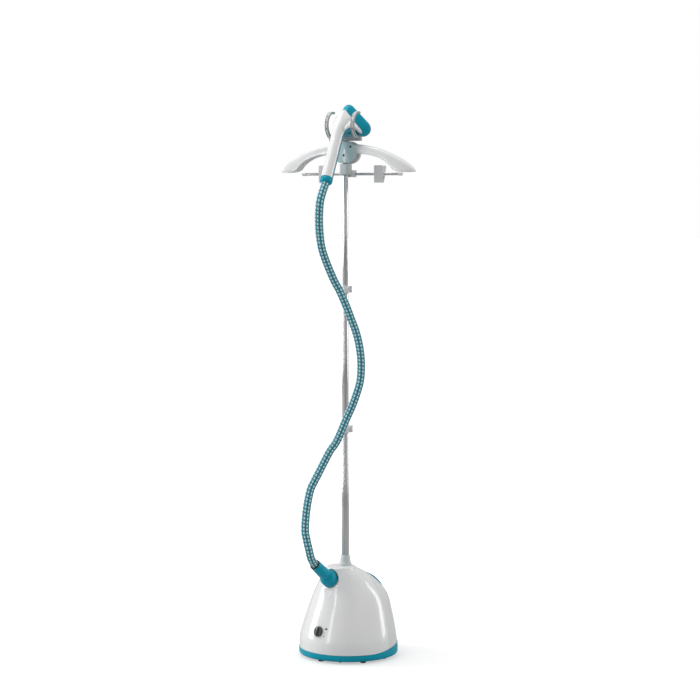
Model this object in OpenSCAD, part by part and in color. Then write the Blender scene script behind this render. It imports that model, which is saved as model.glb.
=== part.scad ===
// Upright garment steamer: a round base with a lift-off water tank, a telescopic pole,
// a turning hanger with folding wings and two clips, and a handset on a woven hose.
// The origin is the centre of the round base on the floor; the front is -Y.

/* [Base] */
// Outer radius of the base tray
base_r = 144; // [140:1:147]
// Height of the rubber feet
foot_h = 6; // [5:0.5:6]
// Wall of the moulded shells
wall = 2.6; // [2.2:0.1:3]
// Plane that parts the front housing from the water tank
seam_y = 14; // [13:1:16]

/* [Pole] */
// Distance of the pole behind the centre of the base
pole_y = -14; // [-16:1:-13]
// Outer radius of the lower tube
lower_r = 11; // [10.8:0.1:11.2]
// Outer radius of the middle tube
middle_r = 9.5; // [9.4:0.05:9.5]
// Outer radius of the upper tube
upper_r = 8; // [7.9:0.05:8]
// Height of the lower clamp
lower_clamp_z = 653; // [645:1:660]
// Height of the upper clamp
upper_clamp_z = 1058; // [1050:1:1065]

/* [Hose] */
// Outer radius of the hose with its woven cover
hose_r = 12; // [11:0.5:12]
// Angle of the steam outlet above the horizontal
outlet_angle = 38.7; // [38:0.1:39.5]

/* [Hanger] */
// Turn of the hanger on the pole at rest
hanger_turn = 15; // [10:1:20]
// Distance from the pole to the tip of a wing
wing_reach = 213; // [205:1:215]
// Length of the trouser bar between its end caps
bar_length = 296; // [290:2:300]
// Distance of each clip from the middle
clip_x = 88; // [80:1:95]

/* [Handset] */
// Radius of the handle
grip_r = 17.25; // [17:0.05:17.5]
// Lean of the handle from upright
grip_lean = 30; // [29:0.5:31]
// Width of the steam head
head_w = 118; // [114:1:120]

/* [Hidden] */
$fn = 64;
// running clearance on a radius
run = 0.05;
// gap between pieces that don't touch
gap = 0.4;

white = [0.93, 0.93, 0.94];
pale = [0.78, 0.79, 0.8];
teal = [0, 0.56, 0.65];
dark = [0.16, 0.17, 0.18];
steel = [0.72, 0.73, 0.74];

// [height, radius, distance behind the centre] of round sections up the body
tray_top = 25;
body_top = 265;
sections = [[tray_top, 143, 0], [62, 140, -1], [131, 123.5, 5], [183, 106, 8], [225, 79, -6],
    [250, 56, -23], [body_top, 38, -38]];

// base: screws, feet and the low dish in the front
screw_angles = [0, -60, -120, -180];
screw_r = 134.6;
foot_ring = 122;
lip_top = 37;
dish_at = [2, -217.6, 248.6];
dish_r = 136.25;

// boiler and the way of the steam out of it
boiler_at = [0, -42, 0];
steam_tap = [0, -55.4, 208];

// steam outlet: middle of the nut, and its length
outlet = [0, -89, 236];
nut_r = 24;
nut_half = 15;
sleeve_end = 76.8;

// control knob on the sloping front
knob_at = [0, -132.8, 87];
knob_tilt = 18;

// tank filler
filler = [0, 75];
tank_floor = 31;
finger_at = [0, 92, 226];
finger_r = 34;

// direction of the clamp levers' pins
lever_turn = 40;

// hanger: wing pin, bar and hook places, in the hanger's own frame
pin_x = 26;
pin_z = 1470;
bar_y = 45;
bar_z = 1399;
bar_r = 4;
hook_x = 39.5;
hook_c = [-2.5, 1537.5];
hook_r = 39.5;
hook_t = 6.5;
hook_w = 9;
bracket_z = 1493;
bracket_top = 1505;
wing_front = -2.7;
wing_back = 20.7;
// [x, z, depth of the front skin] of the hub screws
hub_screw_at = [[-20, 1476, -9], [20, 1476, -9], [0, 1452, -12]];
clip_w = 28;
clip_top = 1424;
clip_low = 1374;
knuckle_r = 7;

// handset: end of the handle, foot of the steam plate and its lean
grip_end = [0, -131, 1372];
plate_foot = [0, 57, 1509];
plate_turn = 69.7;
plate_h = 95;
head_depth = 28;
cuff_h = 16;
grip_top = 178;
part_y = 9;

// middle line of the hose, from its sleeve to the handset
route = [[0, -149, 284], [4, -171, 306], [7, -184, 334], [4, -190, 362], [0, -192, 391],
    [1, -187, 446], [5, -176, 500], [12, -165, 528], [21, -154, 555], [39, -131, 610],
    [51, -117, 636], [61, -107, 666], [71, -95, 703], [83, -84, 739], [93, -75, 776],
    [100, -68, 812], [102, -66, 849], [101, -67, 885], [97, -71, 922], [91, -78, 956],
    [81, -88, 994], [71, -99, 1032], [60, -112, 1070], [50, -124, 1099], [39, -142, 1147],
    [33, -158, 1194], [33, -168, 1253], [37, -170, 1312], [37, -158, 1346], [33.95, -140.68, 1371.7]];
hose_sides = 10;

function arc(c, r, a0, a1, n) =
    [for (i = [0:n]) let (a = a0 + (a1 - a0) * i / n) [c[0] + r * cos(a), c[1] + r * sin(a)]];
function curve(p, n) =
    [for (i = [0:n]) let (t = i / n, u = 1 - t)
        u * u * u * p[0] + 3 * u * u * t * p[1] + 3 * u * t * t * p[2] + t * t * t * p[3]];
function moved(points, d) = [for (p = points) p + d];
function unit(v) = v / norm(v);
function heading(k) =
    k == 0 ? [0, -cos(outlet_angle), sin(outlet_angle)]
    : k == len(route) - 1 ? [-sin(hanger_turn) * sin(grip_lean), cos(hanger_turn) * sin(grip_lean),
        cos(grip_lean)]
    : unit(route[k + 1] - route[k - 1]);

module at_hanger() {
    translate([0, pole_y, 0]) rotate(hanger_turn) children();
}
module at_pole() {
    translate([0, pole_y, 0]) children();
}
// outlet frame: Z runs out along the hose
module at_outlet() {
    translate(outlet) rotate([90 - outlet_angle, 0, 0]) children();
}
// knob frame: Z stands out of the front
module at_knob() {
    translate(knob_at) rotate([90 - knob_tilt, 0, 0]) children();
}
// handle frame: Z runs up the handle, +Y is its underside
module at_grip() {
    translate(grip_end) rotate([-grip_lean, 0, 0]) children();
}
// plate frame: Z leaves the steam plate, -Y runs up it
module at_plate() {
    translate(plate_foot) rotate([-plate_turn, 0, 0]) children();
}
module ring(outer, inner, z0, z1) {
    difference() {
        translate([0, 0, z0]) cylinder(h = z1 - z0, r = outer);
        translate([0, 0, z0 - 1]) cylinder(h = z1 - z0 + 2, r = inner);
    }
}
module box(low, high) {
    translate(low) cube(high - low);
}
// rounded block seen from above
module block(x, y0, y1, z0, z1, r) {
    translate([0, 0, z0]) linear_extrude(z1 - z0)
        polygon(concat(arc([x - r, y0 + r], r, -90, 0, 6), arc([x - r, y1 - r], r, 0, 90, 6),
            arc([-x + r, y1 - r], r, 90, 180, 6), arc([-x + r, y0 + r], r, 180, 270, 6)));
}

// outer form of the body, grown or shrunk by d
module body_form(d) {
    hull() for (s = sections) {
        translate([0, s[2], s[0] + (s[0] == body_top ? d : 0) - 0.1])
            cylinder(r = s[1] + d, h = 0.1, $fn = 72);
    }
}

module base_tray() {
    rim = 141.4;
    color(teal) difference() {
        union() {
            rotate_extrude($fn = 96) polygon(concat([[0, foot_h], [base_r - 7, foot_h]],
                arc([base_r - 6, foot_h + 6], 6, -80, 0, 6),
                [[base_r, tray_top - gap], [rim, tray_top - gap], [rim, foot_h + wall], [0,
                    foot_h + wall]]));
            intersection() {
                ring(base_r, 143.4, tray_top - 1, lip_top);
                box([-base_r, 60, 0], [base_r, 150, 40]);
            }
        }
        for (a = screw_angles) rotate(a) translate([screw_r, 0, 0]) cylinder(h = 20, r = 2.1);
        gland_place() translate([0, 0, -9]) cylinder(h = 20, r = 5);
    }
}
module base_feet() {
    color(dark) for (a = [0:60:300]) rotate(a - 90) translate([foot_ring, 0, 0]) {
        cylinder(h = foot_h - 1.5, r1 = 8, r2 = 9);
        translate([0, 0, foot_h - 1.5]) cylinder(h = 1.5, r = 9);
    }
}
module base_screws() {
    color(steel) for (a = screw_angles) rotate(a) translate([screw_r, 0, 0]) {
        translate([0, 0, foot_h - 1.6]) cylinder(h = 1.6, r = 3.8);
        translate([0, 0, foot_h - 0.1]) cylinder(h = 14, r = 2);
    }
}
module front_housing() {
    color(white) difference() {
        union() {
            difference() {
                body_form(0);
                translate([0, 0, -0.2]) body_form(-wall);
            }
            intersection() {
                body_form(0);
                at_outlet() translate([0, 0, -nut_half - 2 - wall]) cylinder(h = 80, r = nut_r + 3 + wall);
            }
            intersection() {
                body_form(0);
                translate(dish_at) sphere(r = dish_r + wall, $fn = 180);
            }
            for (a = screw_angles) rotate(a) translate([screw_r, 0, foot_h + wall + 0.1])
                cylinder(h = 30, r = 6);
        }
        box([-200, seam_y, 0], [200, 200, 300]);
        translate(dish_at) sphere(r = dish_r, $fn = 180);
        at_outlet() translate([0, 0, -nut_half - 2]) cylinder(h = 90, r = nut_r + 3);
        at_outlet() translate([0, 0, -60]) cylinder(h = 60, r = 12 + run);
        at_pole() translate([0, 0, 150]) cylinder(h = 150, r = 15 + run);
        at_knob() translate([0, 0, -1.6]) cylinder(h = 9, r = 17);
        at_knob() translate([0, 0, -9]) cylinder(h = 9, r = 5);
        for (a = screw_angles) rotate(a) translate([screw_r, 0, 0]) cylinder(h = 24, r = 2 + run);
    }
}
module inner_wall() {
    color(pale) difference() {
        intersection() {
            body_form(-wall - 0.6);
            box([-200, seam_y - wall, tray_top + 1], [200, seam_y, 300]);
        }
        at_pole() cylinder(h = 400, r = 15 + gap);
    }
}
module pole_socket() {
    socket_floor = 192;
    color(pale) at_pole() difference() {
        union() {
            translate([0, 0, socket_floor]) cylinder(h = body_top - socket_floor, r = 15);
            translate([0, 0, body_top]) cylinder(h = 7, r1 = 18, r2 = 16.5);
            translate([0, 0, body_top + 7]) cylinder(h = 22, r1 = 15.8, r2 = lower_r + 1.6);
        }
        translate([0, 0, socket_floor + 4]) cylinder(h = 200, r = lower_r + run);
    }
}
module boiler() {
    color(steel) translate(boiler_at) {
        translate([0, 0, 104]) cylinder(h = 52, r = 42);
        translate([0, 0, 100]) cylinder(h = 4, r = 46);
        translate([0, 0, 156]) cylinder(h = 4, r1 = 42, r2 = 34);
    }
}
module heating_element() {
    color(dark) translate(boiler_at) {
        translate([0, 0, 95.8]) rotate_extrude() translate([32, 0]) circle(r = 4, $fn = 32);
        for (x = [-12, 12]) translate([x, -29.6, 76]) cylinder(h = 17, r = 3);
    }
}
module steam_pipe() {
    color(steel) translate([0, steam_tap[1], 160]) cylinder(h = 34, r = 5);
}
module outlet_port() {
    color(pale) difference() {
        union() {
            at_outlet() translate([0, 0, -43]) cylinder(h = 47, r = 12);
            translate([0, steam_tap[1], 194]) cylinder(h = 17, r = 9);
        }
        at_outlet() translate([0, 0, -36]) cylinder(h = 60, r = 6);
    }
}
module inlet_tube() {
    level = 16;
    color(dark) {
        translate([0, -30, level]) rotate([-90, 0, 0]) cylinder(h = filler[1] + 30 - 18, r = 4);
        translate([0, -30, level]) sphere(r = 4, $fn = 32);
        translate([0, -30, level]) cylinder(h = 100 - level, r = 4);
    }
}
module valve_seat() {
    color(pale) translate([filler[0], filler[1], foot_h + wall]) {
        ring(18, 14, 0, 16);
        cylinder(h = 3, r = 18);
        translate([0, 0, 3]) cylinder(h = 9, r = 2);
    }
}
module thermostat() {
    color(dark) translate([42, -42, 128]) rotate([0, 90, 0]) {
        cylinder(h = 5, r = 9);
        translate([0, 0, 5]) cylinder(h = 6, r = 6);
    }
}
module thermal_fuse() {
    color(steel) translate([-46, -42, 128]) rotate([90, 0, 0]) translate([0, 0, -12])
        cylinder(h = 24, r = 4);
}
module power_switch() {
    color(dark) at_knob() {
        box([-14, -12, -26], [14, 12, -5]);
        translate([0, 0, -6]) cylinder(h = 11, r = 4);
    }
}
module knob_bezel() {
    color(pale) at_knob() ring(16.8, 14.9, -1.5, 1.6);
}
module control_knob() {
    color(dark) at_knob() difference() {
        union() {
            translate([0, 0, -1.1]) cylinder(h = 6.6, r = 14.6);
            translate([0, 0, 5.5]) cylinder(h = 2, r1 = 14.6, r2 = 12.6);
            box([-3.5, -12.4, 5], [3.5, 12.4, 11]);
        }
        translate([0, 0, -2]) cylinder(h = 7.4, r = 4 + run);
    }
}
module gland_place() {
    rotate(140) translate([base_r, 0, 18.2]) rotate([0, 90, 0]) children();
}
module cord_gland() {
    color(dark) difference() {
        gland_place() {
            translate([0, 0, -12]) cylinder(h = 13, r = 4.9);
            translate([0, 0, 0.3]) cylinder(h = 3, r = 7.5);
            translate([0, 0, 3.2]) cylinder(h = 12, r1 = 5.5, r2 = 4.5);
        }
        gland_place() translate([0, 0, -20]) cylinder(h = 60, r = 3.4);
    }
}
module hose_sleeve() {
    color(teal) at_outlet() {
        translate([0, 0, 4.1]) cylinder(h = nut_half - 3.5, r = 12);
        translate([0, 0, nut_half + 0.4]) cylinder(h = 3, r = 19);
        translate([0, 0, nut_half + 3.3]) cylinder(h = sleeve_end - nut_half - 3.3, r1 = 15.6, r2 = 14.6);
    }
}
module hose_nut() {
    flutes = 18;
    color(teal) at_outlet() difference() {
        union() {
            translate([0, 0, -nut_half]) cylinder(h = 2 * nut_half - 4, r = nut_r);
            translate([0, 0, nut_half - 4]) cylinder(h = 4, r1 = nut_r, r2 = 20.5);
        }
        translate([0, 0, -30]) cylinder(h = 60, r = 12 + run + 0.03);
        for (k = [0:flutes - 1]) rotate(k * 360 / flutes)
            translate([nut_r + 1, 0, -nut_half - 1]) cylinder(h = 40, r = 2);
    }
}
module hose() {
    rings = [for (k = [0:len(route) - 1])
        let (t = heading(k), u = unit(cross(t, [1, 0, 0])), v = cross(t, u))
        for (i = [0:hose_sides - 1])
        let (a = 360 * i / hose_sides)
        route[k] + hose_r * (cos(a) * u + sin(a) * v)];
    last = (len(route) - 1) * hose_sides;
    color([0.1, 0.5, 0.57]) polyhedron(rings, concat(
        [[for (i = [0:hose_sides - 1]) i]],
        [for (k = [0:len(route) - 2]) for (i = [0:hose_sides - 1]) let (j = (i + 1) % hose_sides,
            n = k * hose_sides)
            [n + j, n + i, n + hose_sides + i, n + hose_sides + j]],
        [[for (i = [hose_sides - 1:-1:0]) last + i]]));
}

// tank form: the body form behind the seam and above the tray
module tank_form(d) {
    intersection() {
        body_form(d);
        box([-200, seam_y + gap - d, tank_floor - d], [200, 200, 300]);
    }
}
module water_tank() {
    color(pale) difference() {
        union() {
            difference() {
                tank_form(0);
                tank_form(-wall);
            }
            intersection() {
                tank_form(0);
                translate(finger_at) sphere(r = finger_r + wall, $fn = 48);
            }
            translate([filler[0], filler[1], tank_floor]) cylinder(h = 12, r = 25);
        }
        translate(finger_at) sphere(r = finger_r, $fn = 48);
        translate([filler[0], filler[1], tank_floor - 1]) cylinder(h = 20, r = 22 + run);
    }
}
module tank_handle() {
    color(teal) difference() {
        intersection() {
            body_form(5);
            box([-56, 60, 150], [56, 90, 300]);
        }
        body_form(0);
        intersection() {
            body_form(1.5);
            box([-34, 0, 0], [34, 200, 300]);
        }
    }
}
module tank_cap() {
    color(teal) translate([filler[0], filler[1], 0]) difference() {
        union() {
            translate([0, 0, tank_floor]) cylinder(h = 10, r = 22);
            translate([0, 0, tank_floor - 1.2]) cylinder(h = 1.2, r = 20);
        }
        translate([0, 0, tank_floor - 5]) cylinder(h = 20, r = 3 + run);
        translate([0, 0, tank_floor + 5]) cylinder(h = 20, r = 17);
    }
}
module tank_valve() {
    color(dark) translate([filler[0], filler[1], 0]) {
        translate([0, 0, tank_floor - 7]) cylinder(h = 14, r = 3);
        translate([0, 0, tank_floor + 5.2]) cylinder(h = 2.5, r = 10);
    }
}

module tube(r, t, z0, z1) {
    color(steel) at_pole() ring(r, r - t, z0, z1);
}
module tube_lower() {
    tube(lower_r, 1, 196, lower_clamp_z + 11);
}
module tube_middle() {
    tube(middle_r, 0.8, 606, upper_clamp_z + 10);
}
module tube_upper() {
    tube(upper_r, 0.8, 1012, 1428);
}
module glide_lower() {
    color(dark) at_pole() translate([0, 0, 590]) cylinder(h = 16, r = lower_r - 1 - run);
}
module glide_upper() {
    color(dark) at_pole() translate([0, 0, 998]) cylinder(h = 14, r = middle_r - 0.8 - run);
}
// collar with two ears that hold the lever's pin; r_low and r_high are the tubes it grips
module clamp_collar(z, r, r_low, r_high, low_h) {
    pin = r + 3.7;
    color(white) at_pole() rotate(lever_turn) {
        difference() {
            union() {
                translate([0, 0, z]) cylinder(h = 20, r = r);
                for (h = [0, 16]) box([0, -4, z + h], [pin, 4, z + h + 4]);
                for (h = [0, 16]) translate([pin, 0, z + h]) cylinder(h = 4, r = 4);
            }
            translate([0, 0, z - 1]) cylinder(h = low_h + 1, r = r_low + run);
            translate([0, 0, z - 1]) cylinder(h = 30, r = r_high + run);
        }
        translate([pin, 0, z + 3]) cylinder(h = 14, r = 1.5);
    }
}
module clamp_lever(z, r) {
    pin = r + 3.7;
    color(white) at_pole() rotate(lever_turn) translate([pin, 0, z + 4 + 0.3]) difference() {
        union() {
            cylinder(h = 11.4, r = 3.2);
            box([-0.8, -19, 0], [3.2, 0, 11.4]);
        }
        translate([0, 0, -1]) cylinder(h = 20, r = 1.5 + run);
    }
}
module clamp_lower_collar() {
    clamp_collar(lower_clamp_z, 14.5, lower_r, middle_r, 11);
}
module clamp_lower_lever() {
    clamp_lever(lower_clamp_z, 14.5);
}
module clamp_upper_collar() {
    clamp_collar(upper_clamp_z, 12.8, middle_r, upper_r, 10);
}
module clamp_upper_lever() {
    clamp_lever(upper_clamp_z, 12.8);
}

module hanger_neck() {
    color(white) at_hanger() difference() {
        union() {
            block(14, -13, 19, 1397, 1427.4, 6);
            block(9, -2.4, 20.4, 1427, bracket_z - 0.2, 3);
            block(13, 12, 53, 1390, 1410, 5);
        }
        translate([0, 0, 1380]) cylinder(h = 48.2, r = upper_r + run);
        translate([-50, bar_y, bar_z]) rotate([0, 90, 0]) cylinder(h = 100, r = bar_r + run);
    }
}
// drop-shaped outline of the hub
module hub_outline(d) {
    hull() {
        for (x = [-6, 6]) translate([x, 1460]) circle(r = 32 + d, $fn = 48);
        translate([0, 1441]) circle(r = 8 + d, $fn = 32);
    }
}
module hub_front() {
    color([0.66, 0.72, 0.71]) at_hanger() difference() {
        intersection() {
            translate([0, -3, 0]) rotate([90, 0, 0]) linear_extrude(9.5) hub_outline(-1.5);
            translate([0, 150, 1452]) sphere(r = 162, $fn = 360);
        }
        for (p = hub_screw_at) translate([p[0], p[2] - 4, p[1]]) rotate([-90, 0, 0])
            cylinder(h = 5.4, r = 2.5);
    }
}
module hub_rear() {
    color(white) at_hanger() translate([0, 30, 0]) rotate([90, 0, 0]) linear_extrude(9) hub_outline(0);
}
module hub_screws() {
    color(dark) at_hanger() for (p = hub_screw_at)
        translate([p[0], p[2] - 0.2, p[1]]) rotate([-90, 0, 0]) cylinder(h = 1.5, r = 2.2);
}
module wing_pins() {
    color(steel) at_hanger() for (s = [-1, 1])
        translate([s * pin_x, wing_front - 0.3, pin_z]) rotate([-90, 0, 0])
            cylinder(h = wing_back - wing_front + 0.6, r = 3);
}
module hook_bar() {
    color(dark) at_hanger() {
        block(50, -6, 8, bracket_z, bracket_top, 3);
    }
}
module cradle_hook(side) {
    color([0.62, 0.63, 0.64]) at_hanger() difference() {
        translate([side * hook_x - hook_w / 2, hook_c[0], hook_c[1]]) rotate([0, 90, 0]) difference() {
            cylinder(h = hook_w, r = hook_r);
            translate([0, 0, -1]) cylinder(h = 20, r = hook_r - hook_t);
            translate([0, 0, -1]) linear_extrude(20)
                polygon([[0, 0], [-90, 24], [-90, 90], [90, 90], [90, -3.5]]);
        }
        box([-60, -6.05, 1480], [60, 8.05, bracket_top + 0.05]);
    }
}
module hook_left() {
    cradle_hook(-1);
}
module hook_right() {
    cradle_hook(1);
}
module trouser_bar() {
    color(steel) at_hanger() translate([-bar_length / 2, bar_y, bar_z]) rotate([0, 90, 0])
        cylinder(h = bar_length, r = bar_r);
}
module bar_caps() {
    color(white) at_hanger() for (s = [0, 1]) mirror([s, 0, 0])
        translate([bar_length / 2, bar_y, bar_z]) rotate([0, 90, 0]) {
            cylinder(h = 9, r = 5);
            translate([0, 0, 9]) cylinder(h = 3, r1 = 5, r2 = 3.5);
        }
}

wing_tip_z = 1405;
wing_mid = 9;
wing_top = curve([[pin_x, pin_z + 11.5], [90, 1481], [185, 1445], [wing_reach, wing_tip_z + 1]], 16);
function rest(points) = [for (i = [1:len(points) - 1]) points[i]];
// side outline of a wing
module wing_side() {
    paddle = curve([[wing_reach, wing_tip_z], [190, 1402], [160, 1402], [146, 1418]], 8);
    under = curve([[146, 1418], [132, 1434], [110, 1446], [80, 1452]], 8);
    polygon(concat(wing_top, paddle, rest(under), [[pin_x, pin_z - 11.5]]));
}
// outline of a wing from above, shrunk by d
module wing_plan(d) {
    wide = wing_front - 6.3 + d;
    front = concat([[10, wing_front + d]], curve([[60, wing_front + d], [95, wing_front + d], [120,
        wide], [165, wide]], 10));
    nose = curve([[165, wide], [205 - d, wide], [wing_reach - d, 0], [wing_reach - d, wing_mid]], 8);
    half = concat(front, rest(nose));
    polygon(concat(half, [for (i = [len(half) - 2:-1:0]) [half[i][0], 2 * wing_mid - half[i][1]]]));
}
module wing() {
    skin = 2.4;
    color(white) difference() {
        union() {
            intersection() {
                translate([0, 60, 0]) rotate([90, 0, 0]) linear_extrude(120) wing_side();
                translate([0, 0, 1390]) linear_extrude(110) wing_plan(0);
            }
            translate([pin_x, wing_front, pin_z]) rotate([-90, 0, 0])
                cylinder(h = 2 * (wing_mid - wing_front), r = 12);
        }
        intersection() {
            translate([0, 60, 0]) rotate([90, 0, 0]) linear_extrude(120)
                polygon(concat(moved(wing_top, [0, -skin]), [[wing_reach, 1380], [pin_x, 1380]]));
            translate([0, 0, 1385]) linear_extrude(110) wing_plan(skin);
            box([50, -20, 1300], [300, 40, 1500]);
        }
        translate([pin_x, -20, pin_z]) rotate([-90, 0, 0]) cylinder(h = 60, r = 3 + run);
    }
}
module wing_left() {
    at_hanger() mirror([1, 0, 0]) wing();
}
module wing_right() {
    at_hanger() wing();
}

module clip_front(side) {
    color(white) at_hanger() translate([side * clip_x, 0, 0]) difference() {
        union() {
            box([-clip_w / 2, 34.5, clip_low], [clip_w / 2, 38.4, clip_top]);
            translate([-clip_w / 2, bar_y, bar_z]) rotate([0, 90, 0])
                cylinder(h = clip_w / 2 - 0.2, r = knuckle_r);
        }
        translate([-50, bar_y, bar_z]) rotate([0, 90, 0]) cylinder(h = 100, r = bar_r + run);
    }
}
module clip_jaw(side) {
    color(white) at_hanger() translate([side * clip_x, 0, 0]) difference() {
        union() {
            translate([clip_w / 2, 0, 0]) rotate([90, 0, -90]) linear_extrude(clip_w) mirror([1, 0])
                polygon([[58, clip_top - 1], [60.5, clip_top - 1], [55.5, 1399], [42.5, clip_low], [39,
                    clip_low],
                    [39, clip_low + 3], [52.6, 1400]]);
            translate([0.2, bar_y, bar_z]) rotate([0, 90, 0])
                cylinder(h = clip_w / 2 - 0.2, r = knuckle_r - 0.8);
            box([0.2, bar_y, bar_z - 3], [clip_w / 2, 54, bar_z + 3]);
        }
        translate([-clip_w / 2 - 1, bar_y, bar_z]) rotate([0, 90, 0])
            cylinder(h = clip_w / 2 + 1.2, r = knuckle_r + gap);
        translate([-50, bar_y, bar_z]) rotate([0, 90, 0]) cylinder(h = 100, r = bar_r + run);
    }
}
module clip_left_front() {
    clip_front(-1);
}
module clip_left_jaw() {
    clip_jaw(-1);
}
module clip_right_front() {
    clip_front(1);
}
module clip_right_jaw() {
    clip_jaw(1);
}

module handset_top() {
    color(white) at_hanger() difference() {
        union() {
            at_grip() difference() {
                translate([0, 0, cuff_h + 0.2]) cylinder(h = grip_top - cuff_h - 2, r = grip_r);
                translate([0, 0, cuff_h - 1]) cylinder(h = grip_top - cuff_h - 16, r = grip_r - wall);
                box([-30, part_y, -10], [30, 40, grip_top - 14]);
            }
            hull() {
                at_grip() translate([0, 0, grip_top - 12]) cylinder(h = 6, r = grip_r + 0.6, $fn = 40);
                translate([0, -14, 1568]) sphere(r = 15, $fn = 32);
                translate([0, 4, 1582]) sphere(r = 10, $fn = 32);
                translate([0, 2, 1536]) sphere(r = 15, $fn = 32);
            }
            hull() {
                translate([0, 9, 1581]) sphere(r = 8, $fn = 24);
                for (x = [-38, 38]) translate([x, 12, 1538]) sphere(r = 7, $fn = 24);
                translate([0, 8, 1528]) sphere(r = 8, $fn = 24);
            }
        }
        at_plate() box([-80, -150, -head_depth - 0.3], [80, 60, 90]);
    }
}
module handset_bottom() {
    color(teal) at_hanger() at_grip() difference() {
        translate([0, 0, cuff_h + 0.2]) cylinder(h = grip_top - cuff_h - 14.6, r = grip_r);
        translate([0, 0, cuff_h - 1]) cylinder(h = grip_top - cuff_h - 16, r = grip_r - wall);
        box([-30, -40, -10], [30, part_y + 0.1, 400]);
    }
}
module handset_cuff() {
    color(teal) at_hanger() at_grip() {
        cylinder(h = 3, r1 = grip_r - 2, r2 = grip_r + 0.3);
        translate([0, 0, 3]) cylinder(h = cuff_h - 3, r = grip_r + 0.3);
    }
}
module handset_pipe() {
    color(steel) at_hanger() at_grip() translate([0, 0, cuff_h + 0.1])
        ring(5, 3.6, 0, grip_top - cuff_h - 18);
}
// outline of the steam head, drawn on the plate and shrunk by d
module head_disc(d, z) {
    corner = 24;
    for (s = [-1, 1]) translate([s * (head_w / 2 - corner), -corner, z])
        cylinder(h = 0.5, r = corner - d, $fn = 40);
    translate([0, -plate_h + 17, z]) cylinder(h = 0.5, r = 17 - d, $fn = 40);
}
module steam_head() {
    color(teal) at_hanger() difference() {
        at_plate() hull() {
            head_disc(0, -0.5);
            head_disc(0, -10);
            head_disc(9, -head_depth);
        }
        at_plate() hull() {
            head_disc(3, 0.5);
            head_disc(3.2, -9.3);
            head_disc(11, -head_depth + 3);
        }
    }
}
module steam_plate() {
    color(pale) at_hanger() at_plate() hull() head_disc(3.3, -3.2);
}

base_tray();
base_feet();
base_screws();
front_housing();
inner_wall();
pole_socket();
boiler();
heating_element();
steam_pipe();
inlet_tube();
valve_seat();
thermostat();
thermal_fuse();
power_switch();
knob_bezel();
cord_gland();
outlet_port();
hose_sleeve();
hose();
tube_lower();
clamp_lower_collar();
hose_nut();
control_knob();
water_tank();
tank_handle();
tank_cap();
tank_valve();
clamp_lower_lever();
tube_middle();
glide_lower();
clamp_upper_collar();
clamp_upper_lever();
tube_upper();
glide_upper();
hanger_neck();
hub_front();
hub_rear();
hub_screws();
wing_pins();
hook_bar();
hook_left();
hook_right();
trouser_bar();
bar_caps();
wing_left();
wing_right();
clip_left_front();
clip_left_jaw();
clip_right_front();
clip_right_jaw();
handset_top();
handset_bottom();
handset_cuff();
handset_pipe();
steam_head();
steam_plate();
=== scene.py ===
import math

import bmesh
import bpy
from mathutils import Matrix, Vector


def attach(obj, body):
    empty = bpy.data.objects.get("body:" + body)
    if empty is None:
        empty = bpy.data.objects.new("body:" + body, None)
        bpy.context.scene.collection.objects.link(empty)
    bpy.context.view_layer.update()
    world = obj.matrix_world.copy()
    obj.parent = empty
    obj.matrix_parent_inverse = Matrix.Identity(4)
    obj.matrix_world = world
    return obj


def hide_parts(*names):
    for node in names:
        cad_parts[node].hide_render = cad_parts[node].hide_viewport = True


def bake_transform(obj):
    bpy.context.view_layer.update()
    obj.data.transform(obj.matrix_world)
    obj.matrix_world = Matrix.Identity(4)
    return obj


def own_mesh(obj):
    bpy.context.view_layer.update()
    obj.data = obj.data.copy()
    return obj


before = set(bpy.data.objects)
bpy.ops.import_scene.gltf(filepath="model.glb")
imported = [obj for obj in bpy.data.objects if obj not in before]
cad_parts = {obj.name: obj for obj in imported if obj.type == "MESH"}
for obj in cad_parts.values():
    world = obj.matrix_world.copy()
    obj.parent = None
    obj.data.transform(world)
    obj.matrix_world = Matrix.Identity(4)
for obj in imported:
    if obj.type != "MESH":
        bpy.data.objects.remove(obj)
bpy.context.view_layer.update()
print("frame loaded")

mm = 0.001  # every piece is modelled in millimetres and scaled once at the end


def shifted(x, y, z):
    return Matrix.Translation((x, y, z))


def turnedX(degrees):
    return Matrix.Rotation(math.radians(degrees), 4, "X")


# places that several pieces share, in millimetres
places = {
    "poleY": -14,
    "hangerTurn": 15,
    "outlet": (0, -89, 236),
    "outletAngle": 38.7,
    "knob": (0, -132.8, 87),
    "knobTilt": 18,
    "gripEnd": (0, -131, 1372),
    "gripLean": 30,
    "plateFoot": (0, 57, 1509),
    "plateTurn": 69.7,
}
world = Matrix.Identity(4)
poleFrame = shifted(0, places["poleY"], 0)
hangerFrame = poleFrame @ Matrix.Rotation(math.radians(places["hangerTurn"]), 4, "Z")
outletFrame = shifted(*places["outlet"]) @ turnedX(90 - places["outletAngle"])
knobFrame = shifted(*places["knob"]) @ turnedX(90 - places["knobTilt"])
gripFrame = hangerFrame @ shifted(*places["gripEnd"]) @ turnedX(-places["gripLean"])
plateFrame = hangerFrame @ shifted(*places["plateFoot"]) @ turnedX(-places["plateTurn"])


# ---- camera
camera = {"azimuth": 40, "distance": 5.74, "height": 1.328, "lens": 102.45, "aimZ": 0.8921, "aimRight": 0.0135}


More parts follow.
